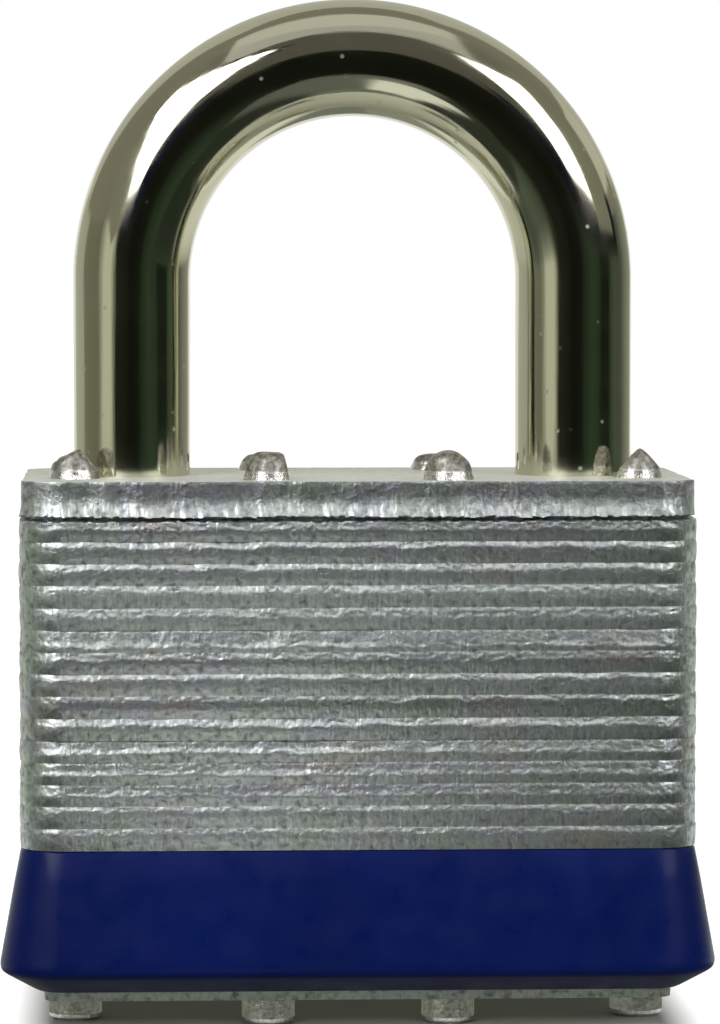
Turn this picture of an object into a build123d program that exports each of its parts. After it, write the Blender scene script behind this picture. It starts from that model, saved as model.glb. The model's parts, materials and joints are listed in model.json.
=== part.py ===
from build123d import *
import os
from math import cos, pi, sin

# Laminated steel padlock with a moulded bumper round its foot.
# X runs across the front, Y from the front to the back, Z up. Z = 0 is the floor under the rivet tails.
# It is drawn with the shackle pushed home and the plug turned to open, so both latches are drawn in.

# Plate stack, from the floor up
TAIL_H = 2.0              # rivet tail under the bottom plate
PLATE_T = 1.65            # every plate but the top one
TOP_PLATE_T = 2.8
NECK_PLATES = 6           # narrower plates inside the bumper
BODY_PLATES = 15
BODY_W = 51.0
BODY_D = 25.4
BODY_R = 3.4              # plan corner radius of a body plate
NECK_INSET = 2.1          # neck plate edge, in from the body edge
FOOT_INSET = 1.8          # bottom plate and first neck plate, which keep the bumper on
DIE_ROLL = 0.35           # rounded rim that the blanking die leaves on one side

# Rivets
RIVET_R = 1.5
RIVET_HOLE_R = 1.55
RIVET_HEAD_R = 2.0
FRONT_HEAD_H = 2.2
BACK_HEAD_H = 1.3         # back row, hammered flatter
HEAD_FLAT_R = 1.1         # flattened crown of the peened head
HEAD_SIDE = 0.33          # upright share of a head's height
HEAD_BULGE_R = 1.64       # a point on the dome, and its share of the height
HEAD_BULGE = 0.75
RIVET_TAIL_CHAMFER = 0.25
CORNER_RIVET_X = 21.4
CORNER_RIVET_Y = 5.8
INNER_RIVET_X = 6.8
INNER_RIVET_Y = 8.5

# Shackle
ROD_R = 4.5
LEG_X = 17.0              # heel at -X, toe at +X
LEG_HOLE_R = 4.7
STRAIGHT_H = 15.0         # straight leg above the top plate
SHACKLE_LIFT = 13.0
TOE_CLEAR = 0.6           # air under the toe when the shackle is up
TOE_CHAMFER = 1.1
HEEL_CHAMFER = 0.8
NOTCH_DEPTH = 2.2
NOTCH_PLAY = 0.2          # air above and below a latch in its notch
HEEL_NECK_R = 2.3         # heel core inside the ring groove
HEEL_FOOT_H = 2.3         # solid heel below the ring groove

# Latches, drawn in
LATCH_T = 3.1
LATCH_TRAVEL = 2.2
LATCH_BITE = 1.9          # how far a locked latch reaches into a leg
NOSE_HALF_W = 3.0
NOSE_L = 4.9
NOSE_BEVEL = 0.9
ARM_LOW_Y = 4.0
ARM_HIGH_Y = 6.1
ARM_BACK_X = 9.8          # outer end of the arm when drawn in
HOOK_X = 4.0              # face that the cam pushes, when drawn in
HOOK_T = 2.0
HOOK_TIP_Y = 0.8
CHAMBER_HALF_X = 12.3
CHAMBER_HALF_Y = 6.3
NOSE_SLOT_HALF_W = 3.15

# Cylinder
PLUG_R = 4.6
PLUG_BORE_R = 4.65
PLUG_RECESS = 0.1         # plug face, up from the bottom plate's underside
PLUG_FLANGE_R = 5.2
PLUG_FLANGE_T = 1.0
PLUG_HOLE_R = 4.85        # in the bottom plate
HOUSING_R = 6.25
HOUSING_HALF_W = 3.2      # pin block
HOUSING_Y = 8.7
HOUSING_FIT = 0.08        # air round the housing in its cavity
CYLINDER_PLATES = 7       # body plates that the cylinder reaches into
CYLINDER_ROOF_PLATES = 3  # between the cylinder and the latch chamber
CHAMBER_PLATES = 2
TOE_POCKET_PLATES = 2     # pocket for the toe, under the latch chamber
PLUG_HEADROOM = 0.3
PIN_R = 1.3
PIN_BORE_R = 1.35
PIN_FIRST_Z = 7.6
PIN_PITCH = 3.8
KEY_PIN_LENGTHS = (2.6, 3.4, 2.2, 3.0)
KEY_PIN_TOP = 4.35        # outer end of a key pin, inside the shear line
KEY_PIN_BORE_FOOT = -0.4
KEY_PIN_POINT = 0.7
DRIVER_LOW = 4.72         # inner end of a driver pin, outside the shear line
DRIVER_L = 2.0
DRIVER_CHAMFER = 0.2
COVER_Y = 8.3
COVER_HALF_W = 1.9
COVER_LAP = 1.0           # cover past the end bores
KEYWAY_TOP_Z = 21.5
KEYWAY_STEPS = ((-0.85, 0.55, -3.7, -1.5), (-0.45, 0.85, -1.7, 0.5), (-0.65, 0.65, 0.3, 2.5))
TANG_L = 5.2
TANG_W = 1.8
TANG_H = 2.0
TANG_FIT = 0.1
CAM_SHAFT_R = 2.6
CAM_SHAFT_HOLE_R = 2.8
CAM_HALF_L = 3.6
CAM_HALF_W = 1.5
PLUG_OPEN_TURN = 90       # degrees from the key-out position to this drawing

# Springs
SHACKLE_COIL_R = 3.2
SHACKLE_WIRE_R = 0.45
SHACKLE_TURNS = 6
LATCH_COIL_R = 0.8
LATCH_WIRE_R = 0.2
LATCH_TURNS = 7
DRIVER_COIL_R = 0.9
DRIVER_WIRE_R = 0.14
DRIVER_TURNS = 3

# Bumper: height and offset from the body outline, down the outside
BUMPER_TOP_GAP = 0.05
BUMPER_SECTIONS = ((0.0, -0.05), (-8.6, 1.5), (-9.2, 1.4), (-10.75, -1.3))
BUMPER_FIT = 0.05

# Levels
BOTTOM_TOP_Z = TAIL_H + PLATE_T
NECK_TOP_Z = BOTTOM_TOP_Z + NECK_PLATES * PLATE_T
BODY_TOP_Z = NECK_TOP_Z + BODY_PLATES * PLATE_T
TOP_Z = BODY_TOP_Z + TOP_PLATE_T
CAVITY_TOP_Z = NECK_TOP_Z + CYLINDER_PLATES * PLATE_T
CHAMBER_LOW_Z = CAVITY_TOP_Z + CYLINDER_ROOF_PLATES * PLATE_T
CHAMBER_TOP_Z = CHAMBER_LOW_Z + CHAMBER_PLATES * PLATE_T
TOE_POCKET_Z = CHAMBER_LOW_Z - TOE_POCKET_PLATES * PLATE_T
SPRING_SEAT_Z = BOTTOM_TOP_Z + PLATE_T
LATCH_Z = (CHAMBER_LOW_Z + CHAMBER_TOP_Z) / 2
NOTCH_LOW_Z = LATCH_Z - LATCH_T / 2 - NOTCH_PLAY
NOTCH_TOP_Z = LATCH_Z + LATCH_T / 2 + NOTCH_PLAY
TOE_Z = TOP_Z + TOE_CLEAR - SHACKLE_LIFT
HEEL_Z = NOTCH_LOW_Z - SHACKLE_LIFT - HEEL_FOOT_H
ARCH_Z = TOP_Z + STRAIGHT_H
PLUG_LOW_Z = TAIL_H + PLUG_RECESS
PLUG_TOP_Z = CAVITY_TOP_Z - PLUG_HEADROOM
FACE_GAP = 0.05           # air between the faces of loose pieces
PAST = 0.5                # a cutter runs this far past what it cuts


def rivet_points():
    corner = [(sx * CORNER_RIVET_X, sy * CORNER_RIVET_Y) for sx in (-1, 1) for sy in (-1, 1)]
    inner = [(sx * INNER_RIVET_X, sy * INNER_RIVET_Y) for sx in (-1, 1) for sy in (-1, 1)]
    return corner + inner


def outline(inset):
    return RectangleRounded(BODY_W - 2 * inset, BODY_D - 2 * inset, BODY_R - inset)


def rectangle(x_low, x_high, y_low, y_high):
    middle = Pos((x_low + x_high) / 2, (y_low + y_high) / 2)
    return middle * Rectangle(x_high - x_low, y_high - y_low)


def slab(sketch, z_low, z_high):
    return Pos(0, 0, z_low) * extrude(sketch, z_high - z_low)


def half_turned(piece):
    return Rot(0, 0, 180) * piece


# Plates

def chamber_sketch():
    room = Rectangle(2 * CHAMBER_HALF_X, 2 * CHAMBER_HALF_Y)
    return room + Rectangle(2 * LEG_X, 2 * NOSE_SLOT_HALF_W)


def cavity_sketch(fit):
    block = rectangle(-HOUSING_HALF_W - fit, HOUSING_HALF_W + fit, 0, HOUSING_Y + fit)
    return Circle(HOUSING_R + fit) + block


def plate_cuts(z_low):
    middle_z = z_low + PLATE_T / 2
    cuts = [Pos(x, y) * Circle(RIVET_HOLE_R) for x, y in rivet_points()]
    if middle_z > SPRING_SEAT_Z:
        cuts.append(Pos(-LEG_X, 0) * Circle(LEG_HOLE_R))
    if middle_z > TOE_POCKET_Z:
        cuts.append(Pos(LEG_X, 0) * Circle(LEG_HOLE_R))
    if middle_z < BOTTOM_TOP_Z:
        cuts.append(Circle(PLUG_HOLE_R))
    elif middle_z < CAVITY_TOP_Z:
        cuts.append(cavity_sketch(HOUSING_FIT))
    elif middle_z < CHAMBER_LOW_Z:
        cuts.append(Circle(CAM_SHAFT_HOLE_R))
    elif middle_z < CHAMBER_TOP_Z:
        cuts.append(chamber_sketch())
    return cuts


def plate(z_low, thickness, inset, rolled_face):
    blank = slab(outline(inset) - plate_cuts(z_low), z_low, z_low + thickness)
    face = blank.faces().sort_by(Axis.Z)[rolled_face]
    return fillet(face.outer_wire().edges(), DIE_ROLL)


def plates():
    stack = {"bottom_plate": plate(TAIL_H, PLATE_T, FOOT_INSET, 0)}
    for number in range(1, NECK_PLATES + 1):
        inset = FOOT_INSET if number == 1 else NECK_INSET
        z_low = BOTTOM_TOP_Z + (number - 1) * PLATE_T
        stack[f"neck_plate_{number}"] = plate(z_low, PLATE_T, inset, -1)
    for number in range(1, BODY_PLATES + 1):
        z_low = NECK_TOP_Z + (number - 1) * PLATE_T
        stack[f"body_plate_{number:02d}"] = plate(z_low, PLATE_T, 0, -1)
    stack["top_plate"] = plate(BODY_TOP_Z, TOP_PLATE_T, 0, 0)
    return stack


# Rivets: a plain formed tail below, a shank, and a peened head with a flattened crown above

def rivet(head_h):
    half = Polyline(
        (0, 0),
        (RIVET_HEAD_R - RIVET_TAIL_CHAMFER, 0),
        (RIVET_HEAD_R, RIVET_TAIL_CHAMFER),
        (RIVET_HEAD_R, TAIL_H),
        (RIVET_R, TAIL_H),
        (RIVET_R, TOP_Z),
        (RIVET_HEAD_R, TOP_Z),
        (RIVET_HEAD_R, TOP_Z + HEAD_SIDE * head_h),
    )
    bulge = (HEAD_BULGE_R, TOP_Z + HEAD_BULGE * head_h)
    dome = ThreePointArc(half @ 1, bulge, (HEAD_FLAT_R, TOP_Z + head_h))
    crown = Polyline(dome @ 1, (0, TOP_Z + head_h), (0, 0))
    return revolve(Plane.XZ * make_face([half, dome, crown]), Axis.Z)


def rivets():
    front, back = rivet(FRONT_HEAD_H).solid(), rivet(BACK_HEAD_H).solid()
    return Compound([Pos(x, y, 0) * (front if y < 0 else back) for x, y in rivet_points()])


# Shackle

def toe_notch():
    floor_x = LEG_X - ROD_R + NOTCH_DEPTH
    return slab(rectangle(0, floor_x, -ROD_R - PAST, ROD_R + PAST), NOTCH_LOW_Z, NOTCH_TOP_Z)


def ring_groove():
    ring = Circle(ROD_R + PAST) - Circle(HEEL_NECK_R)
    return slab(Pos(-LEG_X, 0) * ring, NOTCH_LOW_Z - SHACKLE_LIFT, NOTCH_TOP_Z - SHACKLE_LIFT)


def shackle():
    heel = Line((-LEG_X, 0, HEEL_Z), (-LEG_X, 0, ARCH_Z))
    arch = ThreePointArc((-LEG_X, 0, ARCH_Z), (0, 0, ARCH_Z + LEG_X), (LEG_X, 0, ARCH_Z))
    toe = Line((LEG_X, 0, ARCH_Z), (LEG_X, 0, TOE_Z))
    rod = sweep(Plane((-LEG_X, 0, HEEL_Z)) * Circle(ROD_R), Wire([heel, arch, toe]))
    ends = rod.faces().filter_by(GeomType.PLANE).sort_by(Axis.X)
    rod = chamfer(ends[0].edges(), HEEL_CHAMFER)
    ends = rod.faces().filter_by(GeomType.PLANE).sort_by(Axis.X)
    rod = chamfer(ends[-1].edges(), TOE_CHAMFER)
    return rod - toe_notch() - half_turned(toe_notch()) - ring_groove()


# Latches: a nose that enters a leg, an arm past the cam, and a hook that the cam draws in

def left_latch():
    tip_x = -(LEG_X - ROD_R) - LATCH_BITE + LATCH_TRAVEL
    nose = rectangle(tip_x, tip_x + NOSE_L, -NOSE_HALF_W, NOSE_HALF_W)
    riser = rectangle(-ARM_BACK_X, tip_x + NOSE_L, -ARM_HIGH_Y, 0)
    arm = rectangle(-ARM_BACK_X, HOOK_X + HOOK_T, -ARM_HIGH_Y, -ARM_LOW_Y)
    hook = rectangle(HOOK_X, HOOK_X + HOOK_T, -ARM_HIGH_Y, -HOOK_TIP_Y)
    body = slab(nose + riser + arm + hook, LATCH_Z - LATCH_T / 2, LATCH_Z + LATCH_T / 2)
    tip_edges = body.edges().filter_by(Axis.Y).group_by(Axis.X)[0]
    return chamfer(tip_edges.sort_by(Axis.Z)[-1], NOSE_BEVEL)


# Cylinder. The plug and its pins are drawn with the pins at +Y, then turned to open.

def housing():
    z_low = BOTTOM_TOP_Z + FACE_GAP
    z_high = CAVITY_TOP_Z - FACE_GAP
    block = slab(cavity_sketch(0), z_low, z_high)
    block -= slab(Circle(PLUG_BORE_R), z_low - PAST, z_high + PAST)
    flange_top = z_low + PLUG_FLANGE_T + 2 * FACE_GAP
    block -= slab(Circle(PLUG_FLANGE_R + FACE_GAP), z_low - PAST, flange_top)
    for z in pin_heights():
        block -= bore(PIN_BORE_R, 0, HOUSING_Y + PAST, z)
    cover_low, cover_high = cover_ends()
    groove = rectangle(-COVER_HALF_W - FACE_GAP, COVER_HALF_W + FACE_GAP, COVER_Y - FACE_GAP, HOUSING_Y + PAST)
    return block - slab(groove, cover_low - FACE_GAP, cover_high + FACE_GAP)


def pin_heights():
    return [PIN_FIRST_Z + number * PIN_PITCH for number in range(len(KEY_PIN_LENGTHS))]


def cover_ends():
    heights = pin_heights()
    return heights[0] - PIN_R - COVER_LAP, heights[-1] + PIN_R + COVER_LAP


def bore(radius, y_low, y_high, z):
    return Plane((0, y_low, z), z_dir=(0, 1, 0)) * extrude(Circle(radius), y_high - y_low)


def pin_cover():
    cover_low, cover_high = cover_ends()
    return slab(rectangle(-COVER_HALF_W, COVER_HALF_W, COVER_Y, HOUSING_Y), cover_low, cover_high)


def turned(piece):
    return Rot(0, 0, PLUG_OPEN_TURN) * piece


def plug():
    flange_low = BOTTOM_TOP_Z + 2 * FACE_GAP
    core = slab(Circle(PLUG_R), PLUG_LOW_Z, PLUG_TOP_Z)
    core += slab(Circle(PLUG_FLANGE_R), flange_low, flange_low + PLUG_FLANGE_T)
    for step in KEYWAY_STEPS:
        core -= slab(rectangle(*step), PLUG_LOW_Z - PAST, KEYWAY_TOP_Z)
    for z in pin_heights():
        core -= bore(PIN_BORE_R, KEY_PIN_BORE_FOOT, PLUG_FLANGE_R + PAST, z)
    tang_slot = Rectangle(TANG_L + 2 * TANG_FIT, TANG_W + 2 * TANG_FIT)
    core -= slab(tang_slot, PLUG_TOP_Z - TANG_H - TANG_FIT, PLUG_TOP_Z + PAST)
    return turned(core)


def cam():
    shaft_low = PLUG_TOP_Z + FACE_GAP
    tang = slab(Rectangle(TANG_L, TANG_W), PLUG_TOP_Z - TANG_H, shaft_low)
    shaft = slab(Circle(CAM_SHAFT_R), shaft_low, CHAMBER_LOW_Z)
    lobes = slab(Ellipse(CAM_HALF_W, CAM_HALF_L), CHAMBER_LOW_Z, LATCH_Z + LATCH_T / 2)
    return turned(tang + shaft + lobes)


def key_pin(length, z):
    blank = bore(PIN_R, KEY_PIN_TOP - length, KEY_PIN_TOP, z)
    point = blank.faces().sort_by(Axis.Y)[0]
    return turned(chamfer(point.edges(), KEY_PIN_POINT))


def driver_pin(z):
    blank = bore(PIN_R, DRIVER_LOW, DRIVER_LOW + DRIVER_L, z)
    return chamfer(blank.faces().sort_by(Axis.Y)[-1].edges(), DRIVER_CHAMFER)


# Coil springs: each half turn of the helix is a pair of arcs that meet with one tangent

def helix_point(radius, pitch, angle):
    return Vector(radius * cos(angle), radius * sin(angle), pitch * angle / (2 * pi))


def helix_tangent(radius, pitch, angle):
    return Vector(-radius * sin(angle), radius * cos(angle), pitch / (2 * pi)).normalized()


def arc_pair(start, start_tangent, end, end_tangent):
    chord = end - start
    both = start_tangent + end_tangent
    bend = 2 * (1 - start_tangent.dot(end_tangent))
    along = chord.dot(both)
    reach = ((along * along + bend * chord.dot(chord)) ** 0.5 - along) / bend
    first = start + start_tangent * reach
    second = end - end_tangent * reach
    meet = (first + second) * 0.5
    return [
        TangentArc(start, meet, tangent=start_tangent),
        TangentArc(meet, end, tangent=(second - first).normalized()),
    ]


def coil(radius, wire_r, turns, length):
    pitch = (length - 2 * wire_r) / turns
    arcs = []
    for half in range(2 * turns):
        low, high = half * pi, (half + 1) * pi
        arcs += arc_pair(
            helix_point(radius, pitch, low),
            helix_tangent(radius, pitch, low),
            helix_point(radius, pitch, high),
            helix_tangent(radius, pitch, high),
        )
    start = Plane(helix_point(radius, pitch, 0), z_dir=helix_tangent(radius, pitch, 0))
    return Pos(0, 0, wire_r) * sweep(start * Circle(wire_r), Wire(arcs))


def shackle_spring():
    length = HEEL_Z - SPRING_SEAT_Z - 2 * FACE_GAP
    wound = coil(SHACKLE_COIL_R, SHACKLE_WIRE_R, SHACKLE_TURNS, length - 2 * FACE_GAP)
    return Pos(-LEG_X, 0, SPRING_SEAT_Z + 2 * FACE_GAP) * wound


def left_latch_spring():
    start_x = HOOK_X + HOOK_T + 2 * FACE_GAP
    wound = coil(LATCH_COIL_R, LATCH_WIRE_R, LATCH_TURNS, CHAMBER_HALF_X - start_x - 2 * FACE_GAP)
    seat = Plane((start_x, -(ARM_LOW_Y + ARM_HIGH_Y) / 2, LATCH_Z), z_dir=(1, 0, 0))
    return seat * wound


def driver_spring(z):
    start_y = DRIVER_LOW + DRIVER_L + FACE_GAP
    wound = coil(DRIVER_COIL_R, DRIVER_WIRE_R, DRIVER_TURNS, COVER_Y - start_y - FACE_GAP)
    return Plane((0, start_y, z), z_dir=(0, 1, 0)) * wound


# Bumper

def bumper():
    top_z = NECK_TOP_Z - BUMPER_TOP_GAP
    rings = [Pos(0, 0, top_z + drop) * outline(-offset) for drop, offset in BUMPER_SECTIONS]
    outside = loft(rings, ruled=True)
    lip_z = top_z + BUMPER_SECTIONS[-1][0]
    outside -= slab(outline(NECK_INSET - BUMPER_FIT), SPRING_SEAT_Z, top_z + PAST)
    return outside - slab(outline(FOOT_INSET - BUMPER_FIT), lip_z - PAST, SPRING_SEAT_Z)


def all_parts():
    parts = plates()
    parts["rivets"] = rivets()
    parts["bumper"] = bumper()
    parts["shackle"] = shackle()
    parts["shackle_spring"] = shackle_spring()
    parts["left_latch"] = left_latch()
    parts["right_latch"] = half_turned(left_latch())
    parts["left_latch_spring"] = left_latch_spring()
    parts["right_latch_spring"] = half_turned(left_latch_spring())
    parts["cylinder_housing"] = housing()
    parts["pin_cover"] = pin_cover()
    parts["plug"] = plug()
    parts["cam"] = cam()
    for number, (length, z) in enumerate(zip(KEY_PIN_LENGTHS, pin_heights()), 1):
        parts[f"key_pin_{number}"] = key_pin(length, z)
        parts[f"driver_pin_{number}"] = driver_pin(z)
        parts[f"driver_spring_{number}"] = driver_spring(z)
    return parts


os.makedirs("parts", exist_ok=True)
for name, shape in all_parts().items():
    export_step(shape, f"parts/{name}.step")
    print(f"{name}: {len(shape.solids())} solid, {shape.volume:.1f} mm3, valid {shape.is_valid}")
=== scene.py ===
import json
import math

import bpy
import numpy as np
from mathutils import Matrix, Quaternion, Vector, geometry


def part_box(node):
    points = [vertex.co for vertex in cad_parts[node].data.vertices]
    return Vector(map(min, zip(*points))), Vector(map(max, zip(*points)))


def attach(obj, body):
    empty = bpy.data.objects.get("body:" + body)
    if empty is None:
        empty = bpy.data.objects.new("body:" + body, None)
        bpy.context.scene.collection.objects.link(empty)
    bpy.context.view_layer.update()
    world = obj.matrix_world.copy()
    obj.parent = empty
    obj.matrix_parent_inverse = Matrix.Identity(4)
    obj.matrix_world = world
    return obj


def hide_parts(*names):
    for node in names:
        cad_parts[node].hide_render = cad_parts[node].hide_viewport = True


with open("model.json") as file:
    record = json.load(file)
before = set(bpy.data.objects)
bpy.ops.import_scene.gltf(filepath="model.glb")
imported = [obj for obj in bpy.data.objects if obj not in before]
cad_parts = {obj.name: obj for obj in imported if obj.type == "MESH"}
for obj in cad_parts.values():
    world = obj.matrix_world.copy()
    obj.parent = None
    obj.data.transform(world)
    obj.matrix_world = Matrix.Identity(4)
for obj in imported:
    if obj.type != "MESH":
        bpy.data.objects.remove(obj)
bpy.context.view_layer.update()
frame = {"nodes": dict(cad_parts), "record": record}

# Laminated steel padlock: sheared zinc plated plates, a polished shackle, peened rivets and a moulded bumper.
# Sizes are in millimetres until a mesh is made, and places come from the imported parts.

mm = 0.001
scene = bpy.context.scene
rng = np.random.default_rng(51)


# Small helpers

def linear(hexColour):  # sRGB hex to linear RGBA
    srgb = np.array([int(hexColour[i:i + 2], 16) / 255 for i in (1, 3, 5)])
    low, high = srgb / 12.92, ((srgb + 0.055) / 1.055) ** 2.4
    return (*np.where(srgb <= 0.04045, low, high).tolist(), 1.0)


def linkInputs(tree, node, links):
    for key, socket in dict(links).items():
        tree.links.new(socket, node.inputs[key])


def addNode(tree, kind, settings=(), links=()):  # one node with its settings, ramp stops and incoming links
    node = tree.nodes.new("ShaderNode" + kind)
    for key, value in dict(settings).items():
        if key == "stops":
            while len(node.color_ramp.elements) < len(value):
                node.color_ramp.elements.new(0.5)
            for element, (place, colour) in zip(node.color_ramp.elements, value):
                element.position, element.color = place, colour
        elif isinstance(key, int) or key in node.inputs:
            node.inputs[key].default_value = value
        else:
            setattr(node, key, value)
    linkInputs(tree, node, links)
    return node


# A material with its shader, coordinates in millimetres, and a noise for each grain's size and detail.
def newMaterial(name, grain):
    material = bpy.data.materials.new(name)
    material.use_nodes = True
    tree = material.node_tree
    place = addNode(tree, "TexCoord").outputs["Object"]
    place = addNode(tree, "VectorMath", {"operation": "SCALE", "Scale": 1 / mm}, {0: place}).outputs[0]
    noises = [addNode(tree, "TexNoise", {"Scale": 1 / size, "Detail": detail}, {"Vector": place})
              for size, detail in grain.values()]
    levels = [noise.outputs["Fac"] for noise in noises]
    return material, tree, tree.nodes["Principled BSDF"], place, levels


def boxMm(node):
    low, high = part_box(node)
    return np.array(low) / mm, np.array(high) / mm


def gridQuads(rows, columns, joinRows=False):  # quads of a grid whose last column meets its first
    across = np.arange(columns)
    down = np.arange(rows if joinRows else rows - 1)[:, None]
    right, below = (across + 1) % columns, (down + 1) % rows
    corners = [down * columns + across, down * columns + right,
               below * columns + right, below * columns + across]
    return np.stack(corners, axis=-1).reshape(-1, 4)


def fanTriangles(ring, pole):  # triangles from a closed ring of points to one pole
    return np.column_stack([ring, np.roll(ring, -1), np.full(len(ring), pole)])


def makePiece(name, points, quads, triangles, material, attributes=(), sharpAngle=38):
    mesh = bpy.data.meshes.new(name)
    quads = np.asarray(quads, dtype=np.int32).reshape(-1, 4)
    triangles = np.asarray(triangles, dtype=np.int32).reshape(-1, 3)
    points = np.asarray(points, dtype=float)
    split = np.concatenate([quads[:, [0, 1, 2]], quads[:, [0, 2, 3]], triangles])
    if np.einsum("ij,ij->", points[split[:, 0]], np.cross(points[split[:, 1]], points[split[:, 2]])) < 0:
        quads, triangles = quads[:, ::-1], triangles[:, ::-1]  # faces look outward
    corners = np.concatenate([quads.ravel(), triangles.ravel()])
    starts = np.concatenate([np.arange(len(quads)) * 4, len(quads) * 4 + np.arange(len(triangles)) * 3])
    mesh.vertices.add(len(points))
    mesh.vertices.foreach_set("co", (points * mm).astype(np.float32).ravel())
    mesh.loops.add(len(corners))
    mesh.loops.foreach_set("vertex_index", corners)
    mesh.polygons.add(len(starts))
    mesh.polygons.foreach_set("loop_start", starts.astype(np.int32))
    for key, values in dict(attributes).items():
        values = np.asarray(values, dtype=np.float32)
        kind, field = ("FLOAT", "value") if values.ndim == 1 else ("FLOAT_VECTOR", "vector")
        domain = "POINT" if len(values) == len(points) else "FACE"
        mesh.attributes.new(key, kind, domain).data.foreach_set(field, values.ravel())
    mesh.update(calc_edges=True)
    mesh.validate()
    mesh.shade_smooth()
    mesh.set_sharp_from_angle(angle=math.radians(sharpAngle))
    mesh.materials.append(material)
    piece = bpy.data.objects.new(name, mesh)
    scene.collection.objects.link(piece)
    return piece


# Random waves along a closed line, none shorter than the grain.
def smoothNoise(count, length, grain, rows=1):
    waves = np.fft.rfftfreq(count, length / count)
    weight = np.exp(-(waves * grain) ** 2)
    weight[0] = 0
    phases = rng.normal(size=(rows, len(waves))) + 1j * rng.normal(size=(rows, len(waves)))
    values = np.fft.irfft(phases * weight, count)
    return (values / values.std(axis=1, keepdims=True)).squeeze()


def smoothStep(low, high, values):
    t = np.clip((values - low) / (high - low), 0, 1)
    return t * t * (3 - 2 * t)


def wander(share, noise, low, high):  # a factor about 1 that follows the noise, kept between two limits
    return np.clip(1 + share * noise, low, high)


# Rounded rectangle: four quarter circles joined by straight runs, walked at an even step.
# Gives the points, the outward directions and the whole length.
def roundedOutline(halfX, halfY, radius, step):
    angles = np.radians(np.linspace(0, 90, 91))
    turns = (np.arange(4) * np.pi / 2)[:, None] + angles
    signs = np.array([[1, 1], [-1, 1], [-1, -1], [1, -1]])
    centres = signs * (np.array([halfX, halfY]) - radius)
    outward = np.stack([np.cos(turns), np.sin(turns)], axis=-1)
    corner = (centres[:, None, :] + radius * outward).reshape(-1, 2)
    outward = outward.reshape(-1, 2)
    corner = np.vstack([corner, corner[:1]])
    outward = np.vstack([outward, outward[:1]])
    walked = np.concatenate([[0], np.cumsum(np.linalg.norm(np.diff(corner, axis=0), axis=1))])
    count = int(round(walked[-1] / step))
    along = np.linspace(0, walked[-1], count, endpoint=False)
    points = np.stack([np.interp(along, walked, corner[:, i]) for i in (0, 1)], axis=-1)
    normals = np.stack([np.interp(along, walked, outward[:, i]) for i in (0, 1)], axis=-1)
    normals /= np.linalg.norm(normals, axis=1, keepdims=True)
    return points, normals, walked[-1]


# Materials

def zincPlate():
    # Zinc plated steel sheet, blanked in a die: the cut edge has a smooth burnished band and a torn, duller
    # one, both scored up and down by the punch, with patchy grey-green and lilac tints and a fine mottle in
    # the plating.
    grain = {"patch": (5.0, 3), "mottle": (0.55, 3), "grit": (0.12, 2)}  # mm, and detail
    scoreWidth, scoreLength = 0.22, 1.6
    material, tree, shader, place, (patch, mottle, grit) = newMaterial("zincPlatedShearedSteel", grain)
    burnish = addNode(tree, "Attribute", {"attribute_name": "burnish"}).outputs["Fac"]
    squeeze = (1, 1, scoreWidth / scoreLength)
    scored = addNode(tree, "VectorMath", {"operation": "MULTIPLY", 1: squeeze}, {0: place}).outputs[0]
    scores = addNode(tree, "TexNoise", {"Scale": 1 / scoreWidth, "Detail": 2}, {"Vector": scored})
    score = scores.outputs["Fac"]
    tint = addNode(tree, "ValToRGB", {"stops": [
        (0.32, linear("#bdcabf")), (0.45, linear("#ced6d3")), (0.56, linear("#cbcddb")),
        (0.7, linear("#d2cbc6"))]}, {"Fac": patch})
    worn = addNode(tree, "ValToRGB", {"stops": [
        (0.3, linear("#b6bebb")), (0.55, linear("#ced6d4")), (0.8, linear("#e3e8e8"))]}, {"Fac": score})
    cutEdge = addNode(tree, "Mix", {"data_type": "RGBA"},
                      {0: burnish, 6: worn.outputs["Color"], 7: tint.outputs["Color"]})
    flat = addNode(tree, "Attribute", {"attribute_name": "flat"}).outputs["Fac"]  # 1 on the matt rolled faces
    plating = addNode(tree, "Mix", {"data_type": "RGBA", 7: linear("#e4e6e0")},
                      {0: flat, 6: cutEdge.outputs[2]})
    speckle = addNode(tree, "ValToRGB", {"stops": [
        (0.3, linear("#b2b2b2")), (0.48, linear("#f4f4f4")), (0.58, linear("#ffffff"))]}, {"Fac": mottle})
    specked = addNode(tree, "MapRange", {"To Min": 1.0, "To Max": 0.3}, {"Value": flat})
    colour = addNode(tree, "Mix", {"data_type": "RGBA", "blend_type": "MULTIPLY"},
                     {0: specked.outputs[0], 6: plating.outputs[2], 7: speckle.outputs["Color"]})
    rough = addNode(tree, "MapRange", {"To Min": 0.45, "To Max": 0.32}, {"Value": burnish})
    uneven = addNode(tree, "MapRange", {"From Min": 0.3, "From Max": 0.7, "To Min": 0.1, "To Max": -0.06},
                     {"Value": mottle})
    matt = addNode(tree, "Math", {"operation": "MULTIPLY_ADD", 1: 0.25}, {0: flat, 2: uneven.outputs[0]})
    roughness = addNode(tree, "Math", {"operation": "ADD"}, {0: rough.outputs[0], 1: matt.outputs[0]})
    relief = addNode(tree, "Math", {"operation": "MULTIPLY_ADD", 1: 0.5}, {0: grit, 2: score})
    pitted = addNode(tree, "Math", {"operation": "MULTIPLY_ADD", 1: 2.4}, {0: mottle, 2: relief.outputs[0]})
    bump = addNode(tree, "Bump", {"Strength": 0.5, "Distance": 0.06 * mm}, {"Height": pitted.outputs[0]})
    shader.inputs["Metallic"].default_value = 1.0
    linkInputs(tree, shader, {"Base Color": colour.outputs[2], "Roughness": roughness.outputs[0],
                              "Normal": bump.outputs[0]})
    return material


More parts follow.
